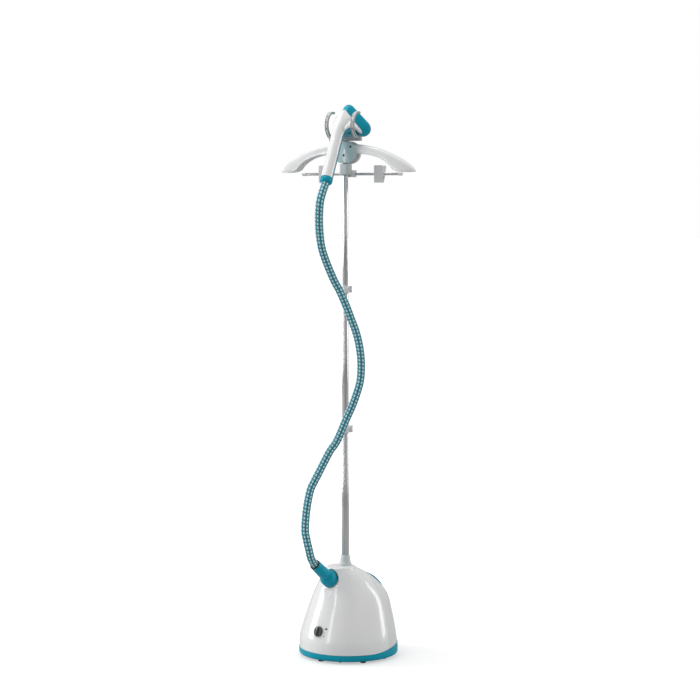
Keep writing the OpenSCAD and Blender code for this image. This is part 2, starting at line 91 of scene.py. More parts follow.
def makeCamera():
    turn = math.radians(camera["azimuth"])
    towards = Vector((math.sin(turn), -math.cos(turn), 0))
    right = Vector((math.cos(turn), math.sin(turn), 0))
    axis = Vector((0, places["poleY"] * mm, 0))
    data = bpy.data.cameras.new("studioCamera")
    data.lens = camera["lens"]
    data.sensor_width = 36
    data.clip_end = 100
    eye = bpy.data.objects.new("studioCamera", data)
    bpy.context.scene.collection.objects.link(eye)
    eye.location = axis + towards * camera["distance"] + Vector((0, 0, camera["height"]))
    aim = axis + right * camera["aimRight"] + Vector((0, 0, camera["aimZ"]))
    eye.rotation_euler = (aim - eye.location).to_track_quat("-Z", "Y").to_euler()
    bpy.context.scene.camera = eye


makeCamera()


# ---- mesh helpers
def softenEdges(bm, width, angle=32, segments=2):
    limit = math.radians(angle)
    sharp = [e for e in bm.edges if len(e.link_faces) == 2 and e.calc_face_angle(0) > limit]
    if sharp:
        bmesh.ops.bevel(bm, geom=sharp, offset=width, offset_type="OFFSET", affect="EDGES", segments=segments,
                        profile=0.5, material=-1, clamp_overlap=True)
    return bm


def tidied(bm, merge=0.005):
    bmesh.ops.remove_doubles(bm, verts=bm.verts, dist=merge)
    bmesh.ops.recalc_face_normals(bm, faces=bm.faces)
    return bm


def turned(profile, steps=64, merge=True):
    # profile is (radius, height) from one end of the axis to the other
    bm = bmesh.new()
    points = [bm.verts.new((r, 0, z)) for r, z in profile]
    rim = [bm.edges.new(pair) for pair in zip(points, points[1:])]
    bmesh.ops.spin(bm, geom=points + rim, cent=(0, 0, 0), axis=(0, 0, 1), angle=math.tau, steps=steps, use_merge=merge)
    return tidied(bm, 0.002)


def extrudedRow(bm, row, edges, points):
    # grows the next row of vertices from the last one and moves it to its points
    grown = bmesh.ops.extrude_edge_only(bm, edges=edges)["geom"]
    fresh = {g for g in grown if isinstance(g, bmesh.types.BMVert)}
    row = [next(e.other_vert(v) for e in v.link_edges if e.other_vert(v) in fresh) for v in row]
    for v, p in zip(row, points):
        v.co = p
    return row, [g for g in grown if isinstance(g, bmesh.types.BMEdge) and g.verts[0] in fresh and g.verts[1] in fresh]


def lofted(rings, capped=True):
    # a tube of quads through rings of the same number of points; also gives its vertices row by row
    bm = bmesh.new()
    count = len(rings[0])
    first = bmesh.ops.create_circle(bm, cap_ends=False, radius=1, segments=count)["verts"]
    first.sort(key=lambda v: math.atan2(v.co.y, v.co.x) % math.tau)
    for v, p in zip(first, rings[0]):
        v.co = p
    rows, rim = [first], bm.edges[:]
    for ring in rings[1:]:
        row, rim = extrudedRow(bm, rows[-1], rim, ring)
        rows.append(row)
    if capped:
        for row in (rows[0], rows[-1]):
            loop = [e for e in bm.edges if e.is_boundary and e.verts[0] in row and e.verts[1] in row]
            bmesh.ops.edgeloop_fill(bm, edges=loop)
    bmesh.ops.recalc_face_normals(bm, faces=bm.faces)
    return bm, rows


def bar(low, high):
    bm = bmesh.new()
    bmesh.ops.create_cube(bm, size=1)
    size = [b - a for a, b in zip(low, high)]
    middle = [(a + b) / 2 for a, b in zip(low, high)]
    bmesh.ops.scale(bm, vec=size, verts=bm.verts)
    bmesh.ops.translate(bm, vec=middle, verts=bm.verts)
    return bm


def plateWithRoundCorners(low, high, corner, along, edge=0.6):
    # a cuboid whose four edges along one axis are rounded, then every edge is broken
    bm = bar(low, high)
    upright = [e for e in bm.edges if abs((e.verts[0].co - e.verts[1].co).normalized()[along]) > 0.9]
    bmesh.ops.bevel(bm, geom=upright, offset=corner, offset_type="OFFSET", affect="EDGES", segments=6,
                    profile=0.5, material=-1, clamp_overlap=True)
    return softenEdges(bm, edge, 50, 2)


def joined(*parts):
    whole = bmesh.new()
    for part in parts:
        mesh = bpy.data.meshes.new("part")
        part.to_mesh(mesh)
        part.free()
        whole.from_mesh(mesh)
        bpy.data.meshes.remove(mesh)
    return whole


def placed(bm, matrix):
    bmesh.ops.transform(bm, matrix=matrix, verts=bm.verts)
    return bm


def asObject(bm, name, matrix=world, angle=38):
    placed(bm, Matrix.Scale(mm, 4) @ matrix)
    mesh = bpy.data.meshes.new(name)
    bm.to_mesh(mesh)
    bm.free()
    mesh.polygons.foreach_set("use_smooth", [True] * len(mesh.polygons))
    mesh.set_sharp_from_angle(angle=math.radians(angle))
    piece = bpy.data.objects.new(name, mesh)
    bpy.context.scene.collection.objects.link(piece)
    return piece


def finished(piece, body, material, nodes=()):
    piece.data.materials.clear()
    piece.data.materials.append(material)
    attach(piece, body)
    if nodes:
        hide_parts(*nodes)
    return piece


def made(bm, name, matrix, body, material, nodes=(), angle=38):
    return finished(asObject(bm, name, matrix, angle), body, material, nodes)


def lathed(name, profile, steps, edge, matrix, body, material, nodes=()):
    bm = softenEdges(turned(profile, steps), *edge)
    return made(bm, name, matrix, body, material, nodes, 40)


def refined(node, name, body, material, width=0.5, angle=30, flat=1.0):
    # a CAD node's own shape with its edges broken, standing for that node
    bm = bmesh.new()
    bm.from_mesh(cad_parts[node].data)
    bmesh.ops.scale(bm, vec=(1000, 1000, 1000), verts=bm.verts)
    bmesh.ops.remove_doubles(bm, verts=bm.verts, dist=0.01)
    bmesh.ops.dissolve_limit(bm, angle_limit=math.radians(flat), verts=bm.verts, edges=bm.edges)
    softenEdges(bm, width, angle, 2)
    return made(bm, name, world, body, material, (node,))


def carved(piece, cutter):
    # cuts the cutter out of a piece for good
    cut = piece.modifiers.new("cut", "BOOLEAN")
    cut.operation, cut.solver, cut.object = "DIFFERENCE", "EXACT", cutter
    held = piece.evaluated_get(bpy.context.evaluated_depsgraph_get())
    mesh = bpy.data.meshes.new_from_object(held)
    piece.modifiers.clear()
    piece.data = mesh
    bpy.data.objects.remove(cutter)
    return piece


def smoothStep(low, high, value):
    t = min(1, max(0, (value - low) / (high - low)))  # high may be below low
    return t * t * (3 - 2 * t)


def between(table, x):
    # straight interpolation in a table of (x, value)
    for (x0, y0), (x1, y1) in zip(table, table[1:]):
        if x <= x1:
            return y0 + (y1 - y0) * max(0, (x - x0) / (x1 - x0))
    return table[-1][1]


def smoothBlend(a, b, c, d, t):
    # from b to c, with the slopes that a and d give
    return 0.5 * (2 * b + (c - a) * t + (2 * a - 5 * b + 4 * c - d) * t * t + (3 * b - a - 3 * c + d) * t ** 3)


def cutAway(bm, y, facing):
    # drops all that lies past a plane square to y
    bmesh.ops.bisect_plane(bm, geom=bm.verts[:] + bm.edges[:] + bm.faces[:], plane_co=(0, y, 0),
                           plane_no=(0, facing, 0), clear_outer=True)


def curve(a, b, c, d, steps):
    found = []
    for i in range(steps + 1):
        t = i / steps
        u = 1 - t
        found.append(tuple(u ** 3 * p + 3 * u * u * t * q + 3 * u * t * t * r + t ** 3 * s
                           for p, q, r, s in zip(a, b, c, d)))
    return found


# ---- materials
def startMaterial(name):
    material = bpy.data.materials.new(name)
    material.use_nodes = True
    tree = material.node_tree
    return material, tree.nodes, tree.links, tree.nodes["Principled BSDF"]


def noiseOn(nodes, links, scale, detail=4.0, stretch=None):
    coordinates = nodes.new("ShaderNodeTexCoord")
    noise = nodes.new("ShaderNodeTexNoise")
    noise.inputs["Scale"].default_value = scale
    noise.inputs["Detail"].default_value = detail
    if stretch:
        mapping = nodes.new("ShaderNodeMapping")
        mapping.inputs["Scale"].default_value = stretch
        links.new(coordinates.outputs["Object"], mapping.inputs["Vector"])
        links.new(mapping.outputs["Vector"], noise.inputs["Vector"])
    else:
        links.new(coordinates.outputs["Object"], noise.inputs["Vector"])
    return noise


def mapped(nodes, links, source, low, high, fromLow=0.3, fromHigh=0.7):
    spread = nodes.new("ShaderNodeMapRange")
    spread.inputs["From Min"].default_value = fromLow
    spread.inputs["From Max"].default_value = fromHigh
    spread.inputs["To Min"].default_value = low
    spread.inputs["To Max"].default_value = high
    links.new(source, spread.inputs["Value"])
    return spread.outputs["Result"]


def blendedColour(nodes, links, factor, first, second):
    # each side is a colour or another node's output
    mix = nodes.new("ShaderNodeMix")
    mix.data_type = "RGBA"
    for slot, side in ((6, first), (7, second)):
        if isinstance(side, bpy.types.NodeSocket):
            links.new(side, mix.inputs[slot])
        else:
            mix.inputs[slot].default_value = (*side, 1)
    links.new(factor, mix.inputs[0])
    return mix.outputs[2]


def bumped(nodes, links, shader, height, strength, distance):
    bump = nodes.new("ShaderNodeBump")
    bump.inputs["Strength"].default_value = strength
    bump.inputs["Distance"].default_value = distance
    links.new(height, bump.inputs["Height"])
    links.new(bump.outputs["Normal"], shader.inputs["Normal"])
    return bump


def mouldedPlastic(name, colour, shade, roughness, coat, grain=0.06, grainScale=1400):
    # colour drifts a little over the moulding, and the skin carries a fine grain
    material, nodes, links, shader = startMaterial(name)
    drift = noiseOn(nodes, links, 14, 2)
    factor = mapped(nodes, links, drift.outputs["Fac"], 0, 1)
    links.new(blendedColour(nodes, links, factor, colour, shade), shader.inputs["Base Color"])
    wear = noiseOn(nodes, links, 60, 5)
    links.new(mapped(nodes, links, wear.outputs["Fac"], roughness * 0.88, roughness * 1.14), shader.inputs["Roughness"])
    skin = noiseOn(nodes, links, grainScale, 2)
    bumped(nodes, links, shader, skin.outputs["Fac"], grain, 0.0002)
    shader.inputs["Coat Weight"].default_value = coat
    shader.inputs["Coat Roughness"].default_value = 0.06
    shader.inputs["IOR"].default_value = 1.5
    return material


def metal(name, colour, shade, roughness, stretch=None, grain=(900, 3), rougher=1.25, bump=(0.12, 0.0001)):
    # stretched, its grain is the fine lines of drawing or brushing
    material, nodes, links, shader = startMaterial(name)
    lines = noiseOn(nodes, links, *grain, stretch)
    factor = mapped(nodes, links, lines.outputs["Fac"], 0, 1)
    links.new(blendedColour(nodes, links, factor, colour, shade), shader.inputs["Base Color"])
    links.new(mapped(nodes, links, lines.outputs["Fac"], roughness * 0.8, roughness * rougher), shader.inputs["Roughness"])
    bumped(nodes, links, shader, lines.outputs["Fac"], *bump)
    shader.inputs["Metallic"].default_value = 1.0
    return material


glossWhite = mouldedPlastic("glossWhite", (0.80, 0.80, 0.80), (0.76, 0.765, 0.77), 0.2, 0.5, 0.02)
# the housing's white made greyer for the tank: painted shade for the tank's shaded side
tankShadedWhite = mouldedPlastic("tankShadedWhite", (0.72, 0.73, 0.735), (0.68, 0.69, 0.70), 0.24, 0.4, 0.03)
satinWhite = mouldedPlastic("satinWhite", (0.78, 0.785, 0.79), (0.73, 0.735, 0.74), 0.34, 0.15, 0.08)
paleGrey = mouldedPlastic("paleGrey", (0.56, 0.60, 0.61), (0.50, 0.54, 0.55), 0.38, 0.1, 0.08)
hubGrey = mouldedPlastic("hubGrey", (0.50, 0.62, 0.63), (0.43, 0.55, 0.565), 0.22, 0.5, 0.04)
hookGrey = mouldedPlastic("hookGrey", (0.36, 0.37, 0.375), (0.30, 0.31, 0.315), 0.42, 0.1, 0.1)
hookPad = mouldedPlastic("hookPad", (0.64, 0.65, 0.65), (0.58, 0.59, 0.59), 0.5, 0.05, 0.15, 900)
tealPlastic = mouldedPlastic("tealPlastic", (0.0, 0.32, 0.44), (0.0, 0.29, 0.40), 0.36, 0.04, 0.06)
tealPlastic.node_tree.nodes["Principled BSDF"].inputs["Specular IOR Level"].default_value = 0.16
knobDark = mouldedPlastic("knobDark", (0.06, 0.062, 0.065), (0.045, 0.047, 0.05), 0.35, 0.2, 0.1)
knobGrip = mouldedPlastic("knobGrip", (0.025, 0.026, 0.028), (0.018, 0.019, 0.02), 0.4, 0.1, 0.1)
# dark plastic for real dark parts, also used for the painted shade of the hook slots
darkPlasticAndSlotShade = mouldedPlastic("darkPlasticAndSlotShade", (0.035, 0.037, 0.04), (0.022, 0.024, 0.026), 0.45, 0.05, 0.12)
blackRubber = mouldedPlastic("blackRubber", (0.016, 0.016, 0.017), (0.028, 0.028, 0.029), 0.72, 0.0, 0.3, 700)
inkGrey = mouldedPlastic("inkGrey", (0.09, 0.09, 0.095), (0.13, 0.13, 0.135), 0.6, 0.0, 0.05)
drawnSteel = metal("drawnSteel", (0.62, 0.62, 0.63), (0.50, 0.50, 0.51), 0.2, (1, 1, 0.01))
screwSteel = metal("screwSteel", (0.42, 0.42, 0.43), (0.30, 0.30, 0.31), 0.34, (1, 1, 1))
barSteel = metal("barSteel", (0.60, 0.60, 0.61), (0.48, 0.48, 0.49), 0.22, (1, 1, 1))
plateSteel = metal("plateSteel", (0.66, 0.66, 0.65), (0.56, 0.56, 0.55), 0.28, (0.02, 1, 1))
castAluminium = metal("castAluminium", (0.58, 0.58, 0.57), (0.45, 0.45, 0.44), 0.46, None, (260, 6), 1.2, (0.3, 0.0006))

hoseWeave = {"columns": 8, "pitch": 10.5, "dashWide": 0.42, "dashLong": 0.62,
             "teal": (0.0, 0.32, 0.42), "dark": (0.0, 0.13, 0.18), "thread": (0.66, 0.82, 0.84)}


def wovenMaterial():
    # UV: u once round the hose, v in weave pitches along it; pale flat yarns float over teal ones
    material, nodes, links, shader = startMaterial("wovenCover")
    uv = nodes.new("ShaderNodeUVMap")
    uv.uv_map = "weave"
    split = nodes.new("ShaderNodeSeparateXYZ")
    links.new(uv.outputs["UV"], split.inputs["Vector"])

    def calc(kind, first, second=None):
        node = nodes.new("ShaderNodeMath")
        node.operation = kind
        for slot, value in enumerate((first, second)):
            if value is None:
                continue
            if isinstance(value, (int, float)):
                node.inputs[slot].default_value = value
            else:
                links.new(value, node.inputs[slot])
        return node.outputs["Value"]

    along = calc("ADD", split.outputs["Y"], split.outputs["X"])
    cellU = calc("FRACT", calc("MULTIPLY", split.outputs["X"], hoseWeave["columns"]))
    cellV = calc("FRACT", along)
    offU = calc("ABSOLUTE", calc("SUBTRACT", cellU, 0.5))
    offV = calc("ABSOLUTE", calc("SUBTRACT", cellV, 0.5))
    inU = mapped(nodes, links, offU, 1, 0, hoseWeave["dashWide"] / 2 - 0.03, hoseWeave["dashWide"] / 2 + 0.03)
    inV = mapped(nodes, links, offV, 1, 0, hoseWeave["dashLong"] / 2 - 0.04, hoseWeave["dashLong"] / 2 + 0.04)
    dash = calc("MULTIPLY", inU, inV)
    seam = calc("MAXIMUM", mapped(nodes, links, offU, 0, 1, 0.40, 0.48), mapped(nodes, links, offV, 0, 1, 0.41, 0.48))
    # fine yarns: two crossing sine ribs
    ribU = calc("SINE", calc("MULTIPLY", split.outputs["X"], math.tau * 56))
    ribV = calc("SINE", calc("MULTIPLY", along, math.tau * 7))
    ribs = calc("ADD", calc("MULTIPLY", ribU, 0.5), calc("MULTIPLY", ribV, 0.5))
    fuzz = noiseOn(nodes, links, 500, 3)
    base = blendedColour(nodes, links, mapped(nodes, links, calc("ADD", ribs, fuzz.outputs["Fac"]), 0, 1, -0.4, 1.4),
                         hoseWeave["dark"], hoseWeave["teal"])
    withSeam = blendedColour(nodes, links, calc("MULTIPLY", seam, 0.6), base, hoseWeave["dark"])
    links.new(blendedColour(nodes, links, dash, withSeam, hoseWeave["thread"]), shader.inputs["Base Color"])
    links.new(mapped(nodes, links, fuzz.outputs["Fac"], 0.55, 0.75), shader.inputs["Roughness"])
    bumped(nodes, links, shader, calc("ADD", calc("MULTIPLY", ribs, 0.4), calc("MULTIPLY", dash, 0.6)), 0.5, 0.0006)
    shader.inputs["Sheen Weight"].default_value = 0.3
    return material


wovenCover = wovenMaterial()
print("materials made")

# ---- hose: three lengths on one line, because it crosses the pole's slide, the hanger's turn and the handset's lift
hose = {
    "route": [(0, -149, 284), (4, -171, 306), (7, -184, 334), (4, -190, 362), (0, -192, 391),
              (1, -187, 446), (5, -176, 500), (12, -165, 528), (21, -154, 555), (39, -131, 610),
              (51, -117, 636), (61, -107, 666), (71, -95, 703), (83, -84, 739), (93, -75, 776),
              (100, -68, 812), (102, -66, 849), (101, -67, 885), (97, -71, 922), (91, -78, 956),
              (81, -88, 994), (71, -99, 1032), (60, -112, 1070), (50, -124, 1099), (39, -142, 1147),
              (33, -158, 1194), (33, -168, 1253), (37, -170, 1312), (37, -158, 1346), (33.9, -140.5, 1372)],
    "radius": 11.8,
    "around": 48,
    "step": 1.5,
    "middleLength": 156,
    "topLength": 154,
}


def hoseLine():
    # a smooth line through the route, sampled evenly, and its length
    stations = [Vector(p) for p in hose["route"]]
    outward = Vector((0, -math.cos(math.radians(places["outletAngle"])), math.sin(math.radians(places["outletAngle"]))))
    upGrip = (gripFrame.to_3x3() @ Vector((0, 0, 1))).normalized()
    stations = [stations[0] - outward * 22] + stations + [stations[-1] + upGrip * 26]
    dense = []
    for k in range(1, len(stations) - 2):
        a, b, c, d = stations[k - 1:k + 3]
        for i in range(24):
            t = i / 24
            dense.append(smoothBlend(a, b, c, d, t))
    dense.append(stations[-2])
    travelled = [0.0]
    for a, b in zip(dense, dense[1:]):
        travelled.append(travelled[-1] + (b - a).length)
    count = round(travelled[-1] / hose["step"])
    even, k = [], 0
    for i in range(count + 1):
        s = travelled[-1] * i / count
        while k < len(dense) - 2 and travelled[k + 1] < s:
            k += 1
        share = (s - travelled[k]) / max(1e-9, travelled[k + 1] - travelled[k])
        even.append(dense[k].lerp(dense[k + 1], min(1, share)))
    return even, travelled[-1]


def hoseRings(line, total):
    # each ring is square to the line, and the weave stands a little proud of it
    rings, side = [], Vector((1, 0, 0))
    for k, point in enumerate(line):
        heading = (line[min(k + 1, len(line) - 1)] - line[max(k - 1, 0)]).normalized()
        side = (side - heading * side.dot(heading)).normalized()
        other = heading.cross(side)
        pitches = total * k / (len(line) - 1) / hoseWeave["pitch"]
        ring = []
        for i in range(hose["around"]):
            turn = i / hose["around"]
            offU = abs((turn * hoseWeave["columns"]) % 1 - 0.5)
            offV = abs((pitches + turn) % 1 - 0.5)
            dash = (1 - smoothStep(0.16, 0.3, offU)) * (1 - smoothStep(0.24, 0.38, offV))
            groove = max(smoothStep(0.38, 0.5, offU), smoothStep(0.40, 0.5, offV))
            radius = hose["radius"] + 0.3 * dash - 0.35 * groove
            angle = math.tau * turn
            ring.append(point + side * (math.cos(angle) * radius) + other * (math.sin(angle) * radius))
        rings.append(ring)
    return rings


def hosePiece(name, line, rings, first, last, total):
    bm, rows = lofted(rings[first:last + 1])
    weave = bm.loops.layers.uv.new("weave")
    spot = {v: (k + first, i) for k, row in enumerate(rows) for i, v in enumerate(row)}
    scale = total / (len(line) - 1) / hoseWeave["pitch"]
    for face in bm.faces:
        spots = [spot[v] for v in face.verts]
        wraps = max(i for _, i in spots) - min(i for _, i in spots) > hose["around"] / 2
        for loop in face.loops:
            k, i = spot[loop.vert]
            u = i / hose["around"]
            if wraps and len(spots) == 4 and i == 0:
                u = 1.0
            loop[weave].uv = (u, k * scale)
    piece = asObject(bm, name, world, 60)
    piece.data.materials.append(wovenCover)
    return piece


def makeHose():
    line, total = hoseLine()
    rings = hoseRings(line, total)
    end = len(line) - 1
    perPoint = total / end
    second = end - round(hose["topLength"] / perPoint)
    firstCut = second - round(hose["middleLength"] / perPoint)
    parts = []
    for name, a, b in (("hoseLower", 0, firstCut), ("hoseMiddle", firstCut, second), ("hoseTop", second, end)):
        piece = hosePiece(name, line, rings, a, b, total)
        path = [tuple(p * mm) for p in line[a:b + 1:4]]
        if (b - a) % 4:
            path.append(tuple(line[b] * mm))
        parts.append((piece, path, (b - a) * perPoint * mm))
    lower, middle, top = parts
    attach(lower[0], "base")
    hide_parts("hose")
    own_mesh(lower[0])
    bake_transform(middle[0])
    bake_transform(top[0])
    print("hose", round(total), "mm long")


makeHose()

# ---- body: one smooth form, parted into the front housing and the tank
body = {
    # height, radius, place of the middle
    "sections": [(25, 143, 0), (62, 140, -1), (131, 123.5, 5), (183, 106, 8), (225, 79, -6), (250, 56, -23),
                 (265, 38, -38)],
    "around": 192,
    "rings": 64,
    "topRound": 5,
    "seam": 14,
    "seamGap": 0.5,
    "wall": 2.6,
    "dishAt": (2, -97, 205),
    "dishOut": (0.0, -0.94, 0.34),
    "dishRadius": 46,
    "dishDepth": 8,
    "seatRadius": 25.5,
    "seatLevel": -16.5,
}


def bodySection(z):
    # radius of the body and the place of its middle at a height, by smooth interpolation
    s = body["sections"]
    z = min(max(z, s[0][0]), s[-1][0])
    k = next(i for i in range(len(s) - 1) if z <= s[i + 1][0])
    found = []
    for c in (1, 2):
        def slope(i):
            a, b = s[max(i - 1, 0)], s[min(i + 1, len(s) - 1)]
            return (b[c] - a[c]) / (b[0] - a[0])
        h = s[k + 1][0] - s[k][0]
        t = (z - s[k][0]) / h
        found.append((2 * t ** 3 - 3 * t * t + 1) * s[k][c] + (t ** 3 - 2 * t * t + t) * h * slope(k)
                     + (3 * t * t - 2 * t ** 3) * s[k + 1][c] + (t ** 3 - t * t) * h * slope(k + 1))
    return found


def bodyRings(foot, grow=0.0):
    top, turnOver = body["sections"][-1][0], body["topRound"]
    rings = []
    heights = [foot + (top - turnOver - foot) * i / (body["rings"] - 1) for i in range(body["rings"])]
    for z in heights:
        radius, middle = bodySection(z)
        rings.append((radius + grow, middle, z))
    radius, middle = bodySection(top - turnOver)
    for i in range(1, 7):
        a = math.radians(15 * i)
        rings.append((radius + grow - turnOver * 1.25 * (1 - math.cos(a)), middle,
                      top - turnOver + (turnOver + grow) * math.sin(a)))
    last = rings[-1]
    rings.append((last[0] * 0.5, last[1], last[2]))
    rings.append((0.6, last[1], last[2]))
    return [[Vector((r * math.cos(math.tau * i / body["around"]), m + r * math.sin(math.tau * i / body["around"]), z))
             for i in range(body["around"])] for r, m, z in rings]


def dished(point):
    # presses the shallow dish into the front and leaves the flat seat behind the nut
    out = Vector(body["dishOut"]).normalized()
    ball = (body["dishRadius"] ** 2 + body["dishDepth"] ** 2) / (2 * body["dishDepth"])
    centre = Vector(body["dishAt"]) + out * (ball - body["dishDepth"])
    offset = point - centre
    inside = ball * ball - offset.length_squared
    result = point.copy()
    if inside > 0 and point.y < body["seam"] - 20:
        along = offset.dot(out)
        flat = (offset - out * along).length
        result = centre + (offset - out * along) - out * math.sqrt(max(0, ball * ball - flat * flat))
    local = outletFrame.inverted() @ result
    rho = math.hypot(local.x, local.y)
    if local.z > -60 and rho < body["seatRadius"] + 3:
        share = 1 - smoothStep(body["seatRadius"], body["seatRadius"] + 3, rho)
        local.z = local.z * (1 - share) + body["seatLevel"] * share
        result = outletFrame @ local
    return result


def frontHousing():
    bm, _ = lofted(bodyRings(25.2), capped=False)
    toOutlet = outletFrame.inverted()
    near = [f for f in bm.faces
            if (toOutlet @ f.calc_center_median()).xy.length < 34 and f.calc_center_median().y < -40]
    edges = list({e for f in near for e in f.edges})
    bmesh.ops.subdivide_edges(bm, edges=edges, cuts=2, use_grid_fill=True)
    for v in bm.verts:
        v.co = dished(v.co)
    cutAway(bm, body["seam"] - body["seamGap"] / 2, 1)
    bmesh.ops.remove_doubles(bm, verts=bm.verts, dist=0.02)
    bmesh.ops.recalc_face_normals(bm, faces=bm.faces)
    piece = made(bm, "frontHousing", world, "base", glossWhite, ("front_housing",), 50)
    wall = piece.modifiers.new("wall", "SOLIDIFY")
    wall.thickness, wall.offset = body["wall"] * mm, -1
    rim = piece.modifiers.new("rim", "BEVEL")
    rim.width, rim.segments, rim.limit_method, rim.angle_limit = 0.5 * mm, 2, "ANGLE", math.radians(60)
    return piece


frontHousing()

tank = {"floor": 31, "fingerAt": (0, 92, 226), "fingerRadius": 34, "fade": (-5, 6)}


def waterTank():
    bm, _ = lofted(bodyRings(tank["floor"], -0.05))
    cutAway(bm, body["seam"] + body["seamGap"] / 2, -1)
    rim = [e for e in bm.edges if e.is_boundary]
    bmesh.ops.edgeloop_fill(bm, edges=rim)
    bmesh.ops.remove_doubles(bm, verts=bm.verts, dist=0.02)
    centre, radius = Vector(tank["fingerAt"]), tank["fingerRadius"]
    for v in bm.verts:  # hollow for the fingers under the handle
        offset = v.co - centre
        if v.co.y > body["seam"] + 1 and offset.length < radius + tank["fade"][1]:
            low = centre.z - math.sqrt(max(0.0, radius ** 2 - offset.x ** 2 - offset.y ** 2))
            share = 1 - smoothStep(radius + tank["fade"][0], radius + tank["fade"][1], math.hypot(offset.x, offset.y))
            v.co.z += min(0, low - v.co.z) * share
    bmesh.ops.recalc_face_normals(bm, faces=bm.faces)
    softenEdges(bm, 0.6, 55, 2)
    # the tank takes the greyer white, which carries painted shade
    return made(bm, "waterTank", world, "tank", tankShadedWhite, ("water_tank",), 45)


waterTank()

tankHandle = {"halfWidth": 56, "y0": 60, "y1": 90, "proud": 5, "thick": 3.4, "across": 15, "along": 57}


def bodyTop(x, y, grow):
    # height of the body's skin above a place, by halving
    low, high = 60.0, body["sections"][-1][0]
    for _ in range(30):
        z = (low + high) / 2
        radius, middle = bodySection(z)
        if math.hypot(x, y - middle) < radius + grow:
            low = z
        else:
            high = z
    return low


def tankHandlePiece():
    bm = bmesh.new()
    across, along = tankHandle["across"], tankHandle["along"]
    bmesh.ops.create_grid(bm, x_segments=along - 1, y_segments=across - 1, size=1)
    for v in bm.verts:
        x = v.co.x * tankHandle["halfWidth"]
        y = tankHandle["y0"] + (v.co.y + 1) / 2 * (tankHandle["y1"] - tankHandle["y0"])
        crown = 1.2 * (1 - v.co.y ** 2)
        lift = tankHandle["proud"] * (1 - 0.6 * smoothStep(0.86, 1.0, abs(v.co.x)))
        v.co = Vector((x, y, bodyTop(x, y, lift) + crown))
    bmesh.ops.solidify(bm, geom=bm.faces[:], thickness=tankHandle["thick"])
    bmesh.ops.recalc_face_normals(bm, faces=bm.faces)
    softenEdges(bm, 1.1, 50, 3)
    return made(bm, "tankHandle", world, "tank", tealPlastic, ("tank_handle",), 50)


tankHandlePiece()

tray = {
    "profile": [(0, 6), (133, 6), (138.5, 6.4), (142, 8), (144, 11.5), (144.2, 16), (144, 24.6), (142.2, 24.6),
                (141.4, 20), (141.4, 8.6), (0, 8.6)],
    "lipInner": 143.2, "lipOuter": 144.2, "lipLow": 22, "lipTop": 38,
}


def baseTray():
    dish = turned(tray["profile"], 144)
    softenEdges(dish, 0.5, 28, 2)
    rings = []
    outer, inner = tray["lipOuter"], tray["lipInner"]
    for r, top in ((outer, False), (outer, True), (inner, True), (inner, False), (outer, False)):
        ring = []
        for i in range(144):
            a = math.tau * i / 144
            rise = smoothStep(-0.5, 0.6, math.sin(a))
            z = tray["lipLow"] + 2.4 + (tray["lipTop"] - tray["lipLow"] - 2.4) * rise if top else tray["lipLow"]
            out = r - (0.7 * rise if top else 0)
            ring.append(Vector((out * math.cos(a), out * math.sin(a), z)))
        rings.append(ring)
    lip, _ = lofted(rings, capped=False)
    tidied(lip)
    softenEdges(lip, 0.25, 50, 1)
    return made(joined(dish, lip), "baseTray", world, "base", tealPlastic, ("base_tray",), 30)


baseTray()

foot = {"ring": 122, "count": 6,
        "profile": [(0, 0.6), (5.5, 0.6), (6, 0), (7.6, 0), (8.2, 0.7), (9, 4.2), (9, 6), (0, 6)]}


def rubberFeet():
    parts = []
    for k in range(foot["count"]):
        part = softenEdges(turned(foot["profile"], 40), 0.2, 30, 2)
        a = math.radians(360 / foot["count"] * k - 90)
        parts.append(placed(part, shifted(foot["ring"] * math.cos(a), foot["ring"] * math.sin(a), 0)))
    return made(joined(*parts), "rubberFeet", world, "base", blackRubber, ("base_feet",))


rubberFeet()
print("base made")

# ---- hose nut and sleeve
nut = {
    "flutes": 20, "perFlute": 6, "depth": 1.1,
    "profile": [(12.1, -15), (21.5, -15), (23.2, -14), (24, -12), (24, -6), (24, 0), (24, 5), (23.7, 8), (22.9, 10.6),
                (21.4, 12.9), (19.6, 14.4), (17.6, 15), (12.1, 15), (12.1, -15)],
}


def hoseNut():
    steps = nut["flutes"] * nut["perFlute"]
    bm = turned(nut["profile"], steps)
    for v in bm.verts:
        radius = v.co.xy.length
        if radius > 20.5 and v.co.z < 12:
            phase = (math.atan2(v.co.y, v.co.x) / math.tau * nut["flutes"]) % 1
            press = nut["depth"] * max(0, math.cos(math.tau * phase)) ** 1.5
            press *= smoothStep(-15, -11, v.co.z) * (1 - smoothStep(7, 12.5, v.co.z))
            v.co.xy *= (radius - press) / radius
    return made(bm, "hoseNut", outletFrame, "nut", tealPlastic, ("hose_nut",), 60)


hoseNut()

sleeve = {
    "profile": [(0, 4.1), (11.9, 4.1), (11.9, 15.3), (18.2, 15.4), (19, 16), (19, 18), (18.3, 18.8), (16.6, 19),
                (16.4, 20.4), (16.9, 21.6), (17, 25), (16.8, 40), (16.3, 55), (15.9, 70), (15.6, 74), (15.0, 76.2),
                (13.4, 76.8), (0, 76.8)],
    "ring": [(12.2, 75.8), (14.6, 75.8), (15.2, 76.6), (15.2, 79.6), (14.4, 80.6), (12.2, 80.6), (12.2, 75.8)],
}
lathed("hoseSleeve", sleeve["profile"], 72, (0.35, 30), outletFrame, "base", tealPlastic,
       ("hose_sleeve",))
hoseRing = softenEdges(turned(sleeve["ring"], 64), 0.3, 30, 2)
made(hoseRing, "hoseRing", outletFrame, "base", blackRubber)

# ---- control knob, its ring and two small signs
knob = {
    "ribs": 40, "ribDepth": 0.3,
    "disc": [(0, -1), (14.2, -1), (14.6, -0.6), (14.6, 5), (14.1, 6.4), (12.9, 7.3), (11.6, 7.5), (0, 7.5)],
    "ring": [(14.8, -1.5), (14.8, 0.6), (15.3, 1.5), (16.2, 1.6), (16.9, 0.9), (16.9, -1.5), (14.8, -1.5)],
}


